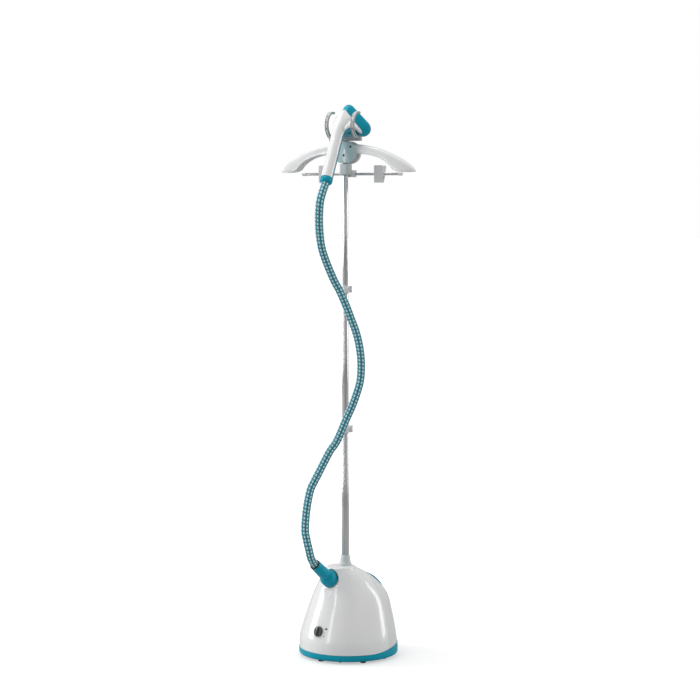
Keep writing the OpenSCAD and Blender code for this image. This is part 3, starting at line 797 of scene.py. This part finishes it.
def controlKnob():
    disc = turned(knob["disc"], 80)
    for v in disc.verts:
        radius = v.co.xy.length
        if radius > 13.8:
            phase = (math.atan2(v.co.y, v.co.x) / math.tau * knob["ribs"]) % 1
            v.co.xy *= (radius - knob["ribDepth"] * (phase > 0.5)) / radius
    made(disc, "controlKnob", knobFrame, "knob", knobDark, ("control_knob",), 40)
    grip = plateWithRoundCorners((-3.5, -12.6, 7.0), (3.5, 12.6, 11), 3.2, 2, 0.8)
    for v in grip.verts:
        v.co.x *= 1 - 0.18 * smoothStep(7, 11, v.co.z)
    made(grip, "knobGrip", knobFrame, "knob", knobGrip, (), 40)
    pointer = plateWithRoundCorners((-0.5, 4.5, 10.95), (0.5, 11, 11.15), 0.4, 2, 0.05)
    made(pointer, "knobPointer", knobFrame, "knob", satinWhite)
    lathed("knobRing", knob["ring"], 80, (0.2, 25), knobFrame, "base", paleGrey, ("knob_bezel",))


controlKnob()


def skinPoint(x, z, proud):
    # place and outward direction on the front skin
    radius, middle = bodySection(z)
    above = bodySection(z + 1)
    y = middle - math.sqrt(radius * radius - x * x)
    yAbove = above[1] - math.sqrt(above[0] ** 2 - x * x)
    out = Vector((x / radius, (y - middle) / radius, 0))
    out = Vector((out.x, out.y, (yAbove - y) * 0.98)).normalized()
    return Vector((x, y, z)) + out * proud, out


# a plain dot and a small cloud of three discs: place on the front, then each disc's place and radius
signs = {"signLow": (22, 76, ((0, 0, 1.6),)),
         "signHigh": (24, 97, ((-2.4, -0.8, 2.0), (0.2, 0.9, 2.6), (2.9, -0.6, 2.1)))}


def frontSigns():
    for name, (x, z, discs) in signs.items():
        at, out = skinPoint(x, z, 0.05)
        turn = out.to_track_quat("Z", "Y").to_matrix().to_4x4()
        parts = []
        for dx, dz, radius in discs:
            part = bmesh.new()
            bmesh.ops.create_cone(part, cap_ends=True, segments=32, radius1=radius, radius2=radius, depth=0.3)
            parts.append(placed(part, shifted(*at) @ turn @ shifted(dx, dz, 0)))
        made(joined(*parts), name, world, "base", inkGrey)


frontSigns()

# ---- pole
pole = {"lower": (11, 10, 196, 664), "middle": (9.5, 8.7, 606, 1068), "upper": (8, 7.2, 1012, 1428)}


def poleTube(name, key, body, node):
    outer, inner, z0, z1 = pole[key]
    bm = turned([(inner, z0), (outer - 0.3, z0), (outer, z0 + 0.4), (outer, z1 - 0.4), (outer - 0.3, z1),
                 (inner, z1), (inner, z0)], 96)
    made(bm, name, poleFrame, body, drawnSteel, (node,), 40)


poleTube("tubeLower", "lower", "base", "tube_lower")
poleTube("tubeMiddle", "middle", "middle_pole", "tube_middle")
poleTube("tubeUpper", "upper", "upper_pole", "tube_upper")

socketProfile = [(11.05, 192), (15, 192), (15, 264.6), (18.6, 264.8), (19, 265.6), (18.6, 268), (17.4, 271.4),
                 (16.5, 272), (15.9, 272.4), (15.6, 273.4), (15.0, 280), (14.0, 287), (13.2, 293), (12.6, 294),
                 (11.05, 294.2), (11.05, 192)]
lathed("poleSocket", socketProfile, 80, (0.3, 28), poleFrame, "base", paleGrey, ("pole_socket",))
for node, name, rider in (("clamp_lower_collar", "clampLowerCollar", "base"),
                          ("clamp_upper_collar", "clampUpperCollar", "middle_pole"),
                          ("clamp_lower_lever", "clampLowerLever", "lower_lever"),
                          ("clamp_upper_lever", "clampUpperLever", "upper_lever")):
    refined(node, name, rider, satinWhite, 0.6, 40)
print("pole made")

# ---- hanger
wing = {
    "pin": (26, 1470), "pinHole": 3.1, "boss": 12, "front": -2.7, "back": 20.7, "middle": 9, "skin": 2.4,
    "top": curve((26, 1481.5), (90, 1481), (185, 1445), (213, 1406), 24),
    "under": ([(26, 1458.5)] + curve((80, 1452), (110, 1446), (132, 1434), (146, 1418), 10)
              + curve((146.5, 1417), (152, 1405), (175, 1401), (213, 1404.5), 10)[1:]),
    "plan": (curve((10, 11.7), (90, 11.7), (120, 18), (165, 18), 10)
             + curve((165.5, 18), (203, 18), (213, 9), (213.2, 0.8), 12)[1:]),
    "across": [(-1, 0), (-0.985, 0.2), (-0.94, 0.45), (-0.86, 0.68), (-0.78, 0.83), (-0.74, 0.87), (-0.6, 0.915),
               (-0.35, 0.97), (0, 1.0)],
}


def wingShell():
    profile = wing["across"] + [(-a, b) for a, b in wing["across"][-2::-1]]
    stops = [20 + 185 * i / 44 for i in range(45)] + [207, 209, 210.6, 211.8, 212.6, 213]
    bm = bmesh.new()

    def station(x):
        high = between(wing["top"], x)
        low = min(between(wing["under"], x), high - 0.8)
        half = max(between(wing["plan"], x), 0.8)
        return [Vector((x, wing["middle"] + a * half, low + b * (high - low))) for a, b in profile]

    row = [bm.verts.new(p) for p in station(stops[0])]
    edges = [bm.edges.new(pair) for pair in zip(row, row[1:])]
    for x in stops[1:]:
        row, edges = extrudedRow(bm, row, edges, station(x))
    bmesh.ops.recalc_face_normals(bm, faces=bm.faces)
    bmesh.ops.solidify(bm, geom=bm.faces[:], thickness=-wing["skin"])
    tidied(bm, 0.05)
    softenEdges(bm, 0.5, 60, 2)
    hole, outer, front, back = wing["pinHole"], wing["boss"], wing["front"], wing["back"]
    boss = turned([(hole, front), (outer, front), (outer, back), (hole, back), (hole, front)], 48)
    softenEdges(boss, 0.5, 40, 2)
    placed(boss, shifted(wing["pin"][0], 0, wing["pin"][1]) @ turnedX(90) @ Matrix.Scale(-1, 4, (0, 0, 1)))
    bmesh.ops.recalc_face_normals(boss, faces=boss.faces)
    return joined(bm, boss)


def makeWings():
    made(wingShell(), "wingRight", hangerFrame, "right_wing", glossWhite, ("wing_right",), 34)
    left = placed(wingShell(), Matrix.Scale(-1, 4, (1, 0, 0)))
    bmesh.ops.reverse_faces(left, faces=left.faces)
    made(left, "wingLeft", hangerFrame, "left_wing", glossWhite, ("wing_left",), 34)


makeWings()
refined("hanger_neck", "hangerNeck", "hanger", paleGrey, 0.8, 40)
refined("hub_front", "hubFront", "hanger", hubGrey, 0.8, 45, 0.3)
refined("hub_rear", "hubRear", "hanger", satinWhite, 1.4, 45, 0.3)
refined("hook_bar", "hookBar", "hanger", hookGrey, 0.8, 40)

hook = {
    "x": 39.5, "middle": (-2.5, 1537.5), "start": -15, "sweep": 193, "steps": 60, "line": 36.4,
    # offset across the hook, and distance from its middle
    "section": [(-4.5, 34.4), (-3.4, 33.2), (5.4, 33.2), (6.5, 34.4), (6.5, 38.6), (5.9, 39.5), (4.1, 39.5),
                (3.7, 38.7), (-1.7, 38.7), (-2.1, 39.5), (-3.9, 39.5), (-4.5, 38.6)],
    "pad": [(-1.4, 38.2), (3.4, 38.2), (3.4, 39.1), (-1.4, 39.1)],
    # angles of the dark chips set where the hook's slots are: painted slot shade
    "slotShades": (50, 78, 106), "slotShadeLevel": 38.85,
}


def hookPoint(side, across, reach, turn):
    # turn is the angle from straight up, towards the front
    y, z = hook["middle"]
    return Vector((side * (hook["x"] + across), y - math.sin(turn) * reach, z + math.cos(turn) * reach))


def hookTurn(k):
    return math.radians(hook["start"] + hook["sweep"] * k / hook["steps"])


def cradleHook(side):
    # swept from behind the top, round the front, to the foot
    steps = hook["steps"]
    rings = []
    for k in range(steps + 1):
        end = min(k, steps - k) / 3
        shrink = 1 if end >= 1 else 0.86 + 0.14 * math.sqrt(1 - (1 - end) ** 2)
        rings.append([hookPoint(side, w * shrink, hook["line"] + (r - hook["line"]) * shrink, hookTurn(k))
                      for w, r in hook["section"]])
    bm, _ = lofted(rings)
    softenEdges(bm, 0.25, 35, 1)
    sideName = "Right" if side > 0 else "Left"
    node = "hook_right" if side > 0 else "hook_left"
    made(bm, "hook" + sideName, hangerFrame, "hanger", hookGrey, (node,), 34)
    strip, _ = lofted([[hookPoint(side, w, r, hookTurn(k)) for w, r in hook["pad"]] for k in range(4, steps - 5)])
    softenEdges(strip, 0.2, 50, 1)
    made(strip, "hookPad" + sideName, hangerFrame, "hanger", hookPad)
    # dark chips stand in for the slots: painted shade, not cut hollows
    slotShades = []
    for angle in hook["slotShades"]:
        slotShade = plateWithRoundCorners((-0.9, -2.6, 0), (0.9, 2.6, 0.5), 0.7, 2, 0.1)
        turn = math.radians(angle)
        out = Vector((0, -math.sin(turn), math.cos(turn)))
        basis = Matrix((Vector((1, 0, 0)), out.cross(Vector((1, 0, 0))), out)).transposed().to_4x4()
        slotShades.append(placed(slotShade, shifted(*hookPoint(side, 1, hook["slotShadeLevel"], turn)) @ basis))
    made(joined(*slotShades), "hookSlotShades" + sideName, hangerFrame, "hanger", darkPlasticAndSlotShade)


cradleHook(-1)
cradleHook(1)

hub = {"ball": 162, "ballAt": (150, 1452), "screws": ((-20, 1476), (20, 1476), (0, 1452))}


def hubFrontY(x, z):
    y0, z0 = hub["ballAt"]
    return y0 - math.sqrt(hub["ball"] ** 2 - x * x - (z - z0) ** 2)


def hubScrews():
    parts = []
    for x, z in hub["screws"]:
        head = turned([(0, -0.6), (3.4, -0.6), (3.4, 0.1), (2.7, 0.5), (1.2, 0.55), (1.0, -0.3), (0, -0.3)], 32)
        parts.append(placed(head, shifted(x, hubFrontY(x, z) - 0.1, z) @ turnedX(90)))
    made(joined(*parts), "hubScrews", hangerFrame, "hanger", knobGrip, ("hub_screws",))


hubScrews()

trouser = {
    "y": 45, "z": 1399, "clipX": 88,
    "rod": [(0, -148), (3.7, -148), (4, -147.6), (4, 147.6), (3.7, 148), (0, 148)],
    "cap": [(0, 146), (4.6, 146), (5, 146.5), (5, 149), (4.5, 149.6), (4.5, 150.8), (5.2, 151.6), (5.4, 156),
            (4.9, 158.6), (3.4, 160), (0, 160.2)],
}


def onTrouserBar(x):
    return shifted(x, trouser["y"], trouser["z"]) @ Matrix.Rotation(math.radians(90), 4, "Y")


def trouserBar():
    along = hangerFrame @ onTrouserBar(0)
    rod = turned(trouser["rod"], 48)
    made(rod, "trouserBar", along, "hanger", barSteel, ("trouser_bar",))
    caps = []
    for sign in (-1, 1):
        cap = softenEdges(turned(trouser["cap"], 48), 0.2, 30, 2)
        caps.append(placed(cap, Matrix.Rotation(0 if sign > 0 else math.pi, 4, "X")))
    made(joined(*caps), "barCaps", along, "hanger", satinWhite, ("bar_caps",))


trouserBar()


def clip(side):
    sideName = "Right" if side > 0 else "Left"
    x, z = side * trouser["clipX"], trouser["z"]
    front = plateWithRoundCorners((x - 14, 34.5, z - 25), (x + 14, 38.4, z + 25), 4, 1, 0.9)
    for v in front.verts:  # the plate bows a little towards the front
        v.co.y += 1.2 * ((v.co.z - z) / 25) ** 2 * (1 if v.co.z < z else 0.4)
    knuckle = turned([(4.2, -13.8), (7, -13.8), (7, -0.4), (4.2, -0.4), (4.2, -13.8)], 40)
    softenEdges(knuckle, 0.4, 40, 2)
    placed(knuckle, onTrouserBar(x))
    body = "right_clip" if side > 0 else "left_clip"
    node = "clip_right" if side > 0 else "clip_left"
    whole = joined(front, knuckle)
    made(whole, "clipFront" + sideName, hangerFrame, body, satinWhite, (node + "_front",))
    jaw = "right_jaw" if side > 0 else "left_jaw"
    refined(node + "_jaw", "clipJaw" + sideName, jaw, satinWhite, 0.7, 40)


clip(-1)
clip(1)
print("hanger made")

# ---- handset
handset = {
    # top point, bottom point (y, z), half width, share of the delta outline, where the teal underside starts
    "stations": [
        ((-137.8, 1394.6), (-107.9, 1377.3), 17.25, 0, -0.06),
        ((-121.3, 1423.2), (-91.4, 1405.9), 17.25, 0, -0.06),
        ((-104.8, 1451.8), (-74.9, 1434.5), 17.25, 0, -0.06),
        ((-88.3, 1480.4), (-58.4, 1463.1), 17.25, 0, -0.06),
        ((-73.4, 1506.2), (-43.6, 1489), 17.6, 0, -0.04),
        ((-64, 1524), (-32, 1505), 18.8, 0, 0.0),
        ((-52, 1543.5), (-18, 1512), 21.5, 0.05, 0.12),
        ((-38, 1561.5), (-6, 1516), 26.5, 0.15, 0.4),
        ((-22, 1575.5), (4, 1516.5), 32.5, 0.4, 0.7),
        ((-11, 1581.5), (12, 1513.5), 38, 0.75, 0.9),
        ((-4.4, 1580.6), (20.5, 1511.5), 42, 0.97, 0.97),
        ((-2.1, 1578.8), (23.4, 1511.1), 43.4, 1.0, 0.98),
    ],
    "around": 96,
    "between": 6,
}
delta = {"width": 118, "height": 95, "corner": 24, "apex": 17, "centre": 42}


def deltaOutline(inset, steps, lobe=0.0):
    # radial points round the rounded triangle (x, down), from its three discs' support lines
    corner = delta["corner"]
    discs = [(-delta["width"] / 2 + corner, -corner, corner - inset - lobe),
             (delta["width"] / 2 - corner, -corner, corner - inset - lobe),
             (0, -delta["height"] + delta["apex"], delta["apex"] - inset)]
    support = []
    for k in range(720):
        a = math.tau * k / 720
        u, v = math.cos(a), math.sin(a)
        support.append((u, v, max(x * u + y * v + r for x, y, r in discs) + delta["centre"] * v))
    points = []
    for i in range(steps):
        a = math.tau * i / steps
        c, s = math.cos(a), math.sin(a)
        reach = min(h / (u * c + v * s) for u, v, h in support if u * c + v * s > 1e-3)
        points.append((reach * c, reach * s))
    return points


def handsetRings():
    stations = handset["stations"]
    outline = deltaOutline(9.2, handset["around"], 6)
    wide = max(abs(x) for x, _ in outline)
    up, down = min(y for _, y in outline), max(y for _, y in outline)

    def at(k, t):
        # smooth blend of the four nearest stations
        found = []
        picks = [stations[min(max(k + d, 0), len(stations) - 1)] for d in (-1, 0, 1, 2)]
        flat = [(*p[0], *p[1], p[2], p[3], p[4]) for p in picks]
        for a, b, c, d in zip(*flat):
            found.append(smoothBlend(a, b, c, d, t))
        return found

    values = [at(k, i / handset["between"]) for k in range(len(stations) - 1) for i in range(handset["between"])]
    values.append(at(len(stations) - 2, 1))
    rings = []
    for ty, tz, by, bz, half, share, cut in values:
        share, cut = min(1, max(0, share)), min(0.999, cut)
        top, foot = Vector((0, ty, tz)), Vector((0, by, bz))
        middle, reach = (top + foot) / 2, (foot - top) / 2
        ring = []
        for i, (dx, dy) in enumerate(outline):
            a = math.tau * i / handset["around"]
            ox, oy = half * math.cos(a), math.sin(a)
            # a flatter back with soft shoulders, as on the moulded handle
            if oy < 0:
                oy = -abs(oy) ** 0.9
            px = dx / wide * half
            py = (dy - (up + down) / 2) / ((down - up) / 2)
            ring.append((ox * (1 - share) + px * share, oy * (1 - share) + py * share))
        rings.append((middle, reach, cut, ring))
    return rings


def handsetPiece(upper):
    rings = []
    for middle, reach, cut, ring in handsetRings():
        line = []
        for x, down in ring:
            if upper:
                level = min(down, cut)
                x = x * (1 if down <= cut else 0.97)
            else:
                level = max(down, cut + 0.02)
            line.append(middle + reach * level + Vector((x, 0, 0)))
        rings.append(line)
    if not upper:
        rings = rings[:-3]
    bm, _ = lofted(rings)
    bmesh.ops.remove_doubles(bm, verts=bm.verts, dist=0.01)
    bmesh.ops.recalc_face_normals(bm, faces=bm.faces)
    return bm


def handsetShells():
    top = handsetPiece(True)
    made(top, "handsetTop", hangerFrame, "handset", glossWhite, ("handset_top",), 44)
    bottom = handsetPiece(False)
    made(bottom, "handsetBottom", hangerFrame, "handset", tealPlastic, ("handset_bottom",), 44)


handsetShells()

cuffProfile = [(0, -1.5), (12.4, -1.5), (13.6, -1), (15.2, 0.2), (16.6, 1.6), (17.6, 4), (17.9, 6), (17.9, 12),
               (17.6, 12.8), (17.1, 13.1), (17.1, 14), (17.6, 14.3), (17.7, 15.6), (17.2, 16), (0, 16)]
lathed("handsetCuff", cuffProfile, 72, (0.3, 28), gripFrame, "handset", tealPlastic, ("handset_cuff",))


def deltaRing(inset, depth, lobe=0.0):
    return [Vector((x, y - delta["centre"], depth)) for x, y in deltaOutline(inset, 120, lobe)]


def steamHead():
    # inset from the rounded triangle, and depth from the plate
    levels = [(10.4, -29.6), (8.7, -29.2), (7.0, -26.4), (4.5, -21.2), (2.2, -15.4), (0.7, -11.2), (0.15, -9.0),
              (0.75, -8.4), (0.8, -7.6), (0.05, -7.0), (0, -5.6), (0, -1.4), (0.35, -0.5), (1.1, 0), (2.7, 0),
              (3.0, -0.4), (3.05, -3.0), (3.05, -9), (14, -9.4), (30, -9.5)]
    bm, _ = lofted([deltaRing(min(inset, 16.5), depth, 6.2 * smoothStep(-9, -29.2, depth))
                    for inset, depth in levels])
    made(bm, "steamHead", plateFrame, "handset", tealPlastic, ("steam_head",), 26)


steamHead()


def steamPlate():
    levels = [(3.5, -3.2), (3.5, -0.9), (3.9, -0.3), (4.8, 0.1)]
    bm, _ = lofted([deltaRing(inset, depth) for inset, depth in levels])
    plate = asObject(bm, "steamPlate", plateFrame, 30)
    holes = []
    outline = deltaOutline(13, 22)
    inner = deltaOutline(16.9, 10)
    for x, y in outline + [(x * 0.45, y * 0.45) for x, y in inner]:
        hole = bmesh.new()
        bmesh.ops.create_cone(hole, cap_ends=True, segments=20, radius1=1.9, radius2=1.9, depth=4)
        holes.append(placed(hole, shifted(x, y - delta["centre"], 0.6)))
    carved(plate, asObject(joined(*holes), "holeCutter", plateFrame))
    plate.data.polygons.foreach_set("use_smooth", [True] * len(plate.data.polygons))
    plate.data.set_sharp_from_angle(angle=math.radians(30))
    finished(plate, "handset", plateSteel, ("steam_plate",))


steamPlate()
print("handset made")

# ---- CAD nodes that stay, with their finishes
keptFinishes = {
    "base_screws": screwSteel, "inner_wall": paleGrey, "boiler": castAluminium, "heating_element": screwSteel,
    "steam_pipe": drawnSteel, "inlet_tube": blackRubber, "valve_seat": paleGrey, "thermostat": screwSteel,
    "thermal_fuse": screwSteel, "power_switch": darkPlasticAndSlotShade, "cord_gland": darkPlasticAndSlotShade, "outlet_port": paleGrey,
    "tank_cap": tealPlastic, "tank_valve": darkPlasticAndSlotShade, "glide_lower": darkPlasticAndSlotShade, "glide_upper": darkPlasticAndSlotShade,
    "wing_pins": screwSteel, "handset_pipe": screwSteel,
}
for node, finish in keptFinishes.items():
    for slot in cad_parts[node].material_slots:
        slot.material = finish

# ---- floor and light
studio = {
    "floor": 60, "floorColour": (0.5, 0.5, 0.5), "glowNear": 0.5, "glowFar": 0.95, "backdrop": 1.0, "fillSky": 0.62,
    # name: place, size, power, aim
    "lights": {
        "leftBox": ((-2.9, -1.6, 1.6), (1.0, 2.6), 60, (0, 0, 0.7)),
        "frontStrip": ((-0.6, -4.0, 1.5), (0.35, 1.8), 12, (0, 0, 0.7)),
        "rightStrip": ((2.6, 2.6, 1.5), (0.8, 2.6), 34, (0, 0, 0.7)),
        "topBox": ((-0.6, -0.4, 3.4), (1.8, 1.8), 30, (0, 0, 0.6)),
    },
}


def makeStudio():
    bm = bmesh.new()
    bmesh.ops.create_circle(bm, cap_ends=True, radius=studio["floor"], segments=96)
    mesh = bpy.data.meshes.new("floor")
    bm.to_mesh(mesh)
    bm.free()
    floor = bpy.data.objects.new("floor", mesh)
    bpy.context.scene.collection.objects.link(floor)
    material, nodes, links, shader = startMaterial("paleFloor")
    grain = noiseOn(nodes, links, 30, 3)
    factor = mapped(nodes, links, grain.outputs["Fac"], 0, 1)
    dusty = [c * 0.985 for c in studio["floorColour"]]
    links.new(blendedColour(nodes, links, factor, studio["floorColour"], dusty), shader.inputs["Base Color"])
    shader.inputs["Roughness"].default_value = 0.7
    shader.inputs["Emission Color"].default_value = (1, 1, 1, 1)
    rays = nodes.new("ShaderNodeLightPath")  # the glow is for the eye only and lights nothing
    place = nodes.new("ShaderNodeTexCoord")
    reach = nodes.new("ShaderNodeVectorMath")
    reach.operation = "LENGTH"
    links.new(place.outputs["Object"], reach.inputs[0])
    glow = mapped(nodes, links, reach.outputs["Value"], studio["glowNear"], studio["glowFar"], 0.2, 1.6)
    seen = nodes.new("ShaderNodeMath")
    seen.operation = "MULTIPLY"
    links.new(glow, seen.inputs[0])
    links.new(rays.outputs["Is Camera Ray"], seen.inputs[1])
    links.new(seen.outputs["Value"], shader.inputs["Emission Strength"])
    mesh.materials.append(material)
    for name, (place, size, power, aim) in studio["lights"].items():
        lamp = bpy.data.lights.new(name, "AREA")
        lamp.shape, lamp.size, lamp.size_y, lamp.energy = "RECTANGLE", size[0], size[1], power
        holder = bpy.data.objects.new(name, lamp)
        holder.location = place
        holder.rotation_euler = (Vector(aim) - Vector(place)).to_track_quat("-Z", "Y").to_euler()
        bpy.context.scene.collection.objects.link(holder)
    sky = bpy.data.worlds.new("paleStudio")
    sky.use_nodes = True
    nodes, links = sky.node_tree.nodes, sky.node_tree.links
    fill = nodes["Background"]
    fill.inputs["Color"].default_value = (1, 1, 1, 1)
    fill.inputs["Strength"].default_value = studio["fillSky"]
    plain = nodes.new("ShaderNodeBackground")
    plain.inputs["Color"].default_value = (1, 1, 1, 1)
    plain.inputs["Strength"].default_value = studio["backdrop"]
    rays = nodes.new("ShaderNodeLightPath")
    mix = nodes.new("ShaderNodeMixShader")
    links.new(rays.outputs["Is Camera Ray"], mix.inputs["Fac"])
    links.new(fill.outputs["Background"], mix.inputs[1])
    links.new(plain.outputs["Background"], mix.inputs[2])
    links.new(mix.outputs["Shader"], nodes["World Output"].inputs["Surface"])
    bpy.context.scene.world = sky
    bpy.context.scene.view_settings.view_transform = "Standard"


makeStudio()
print("studio made")
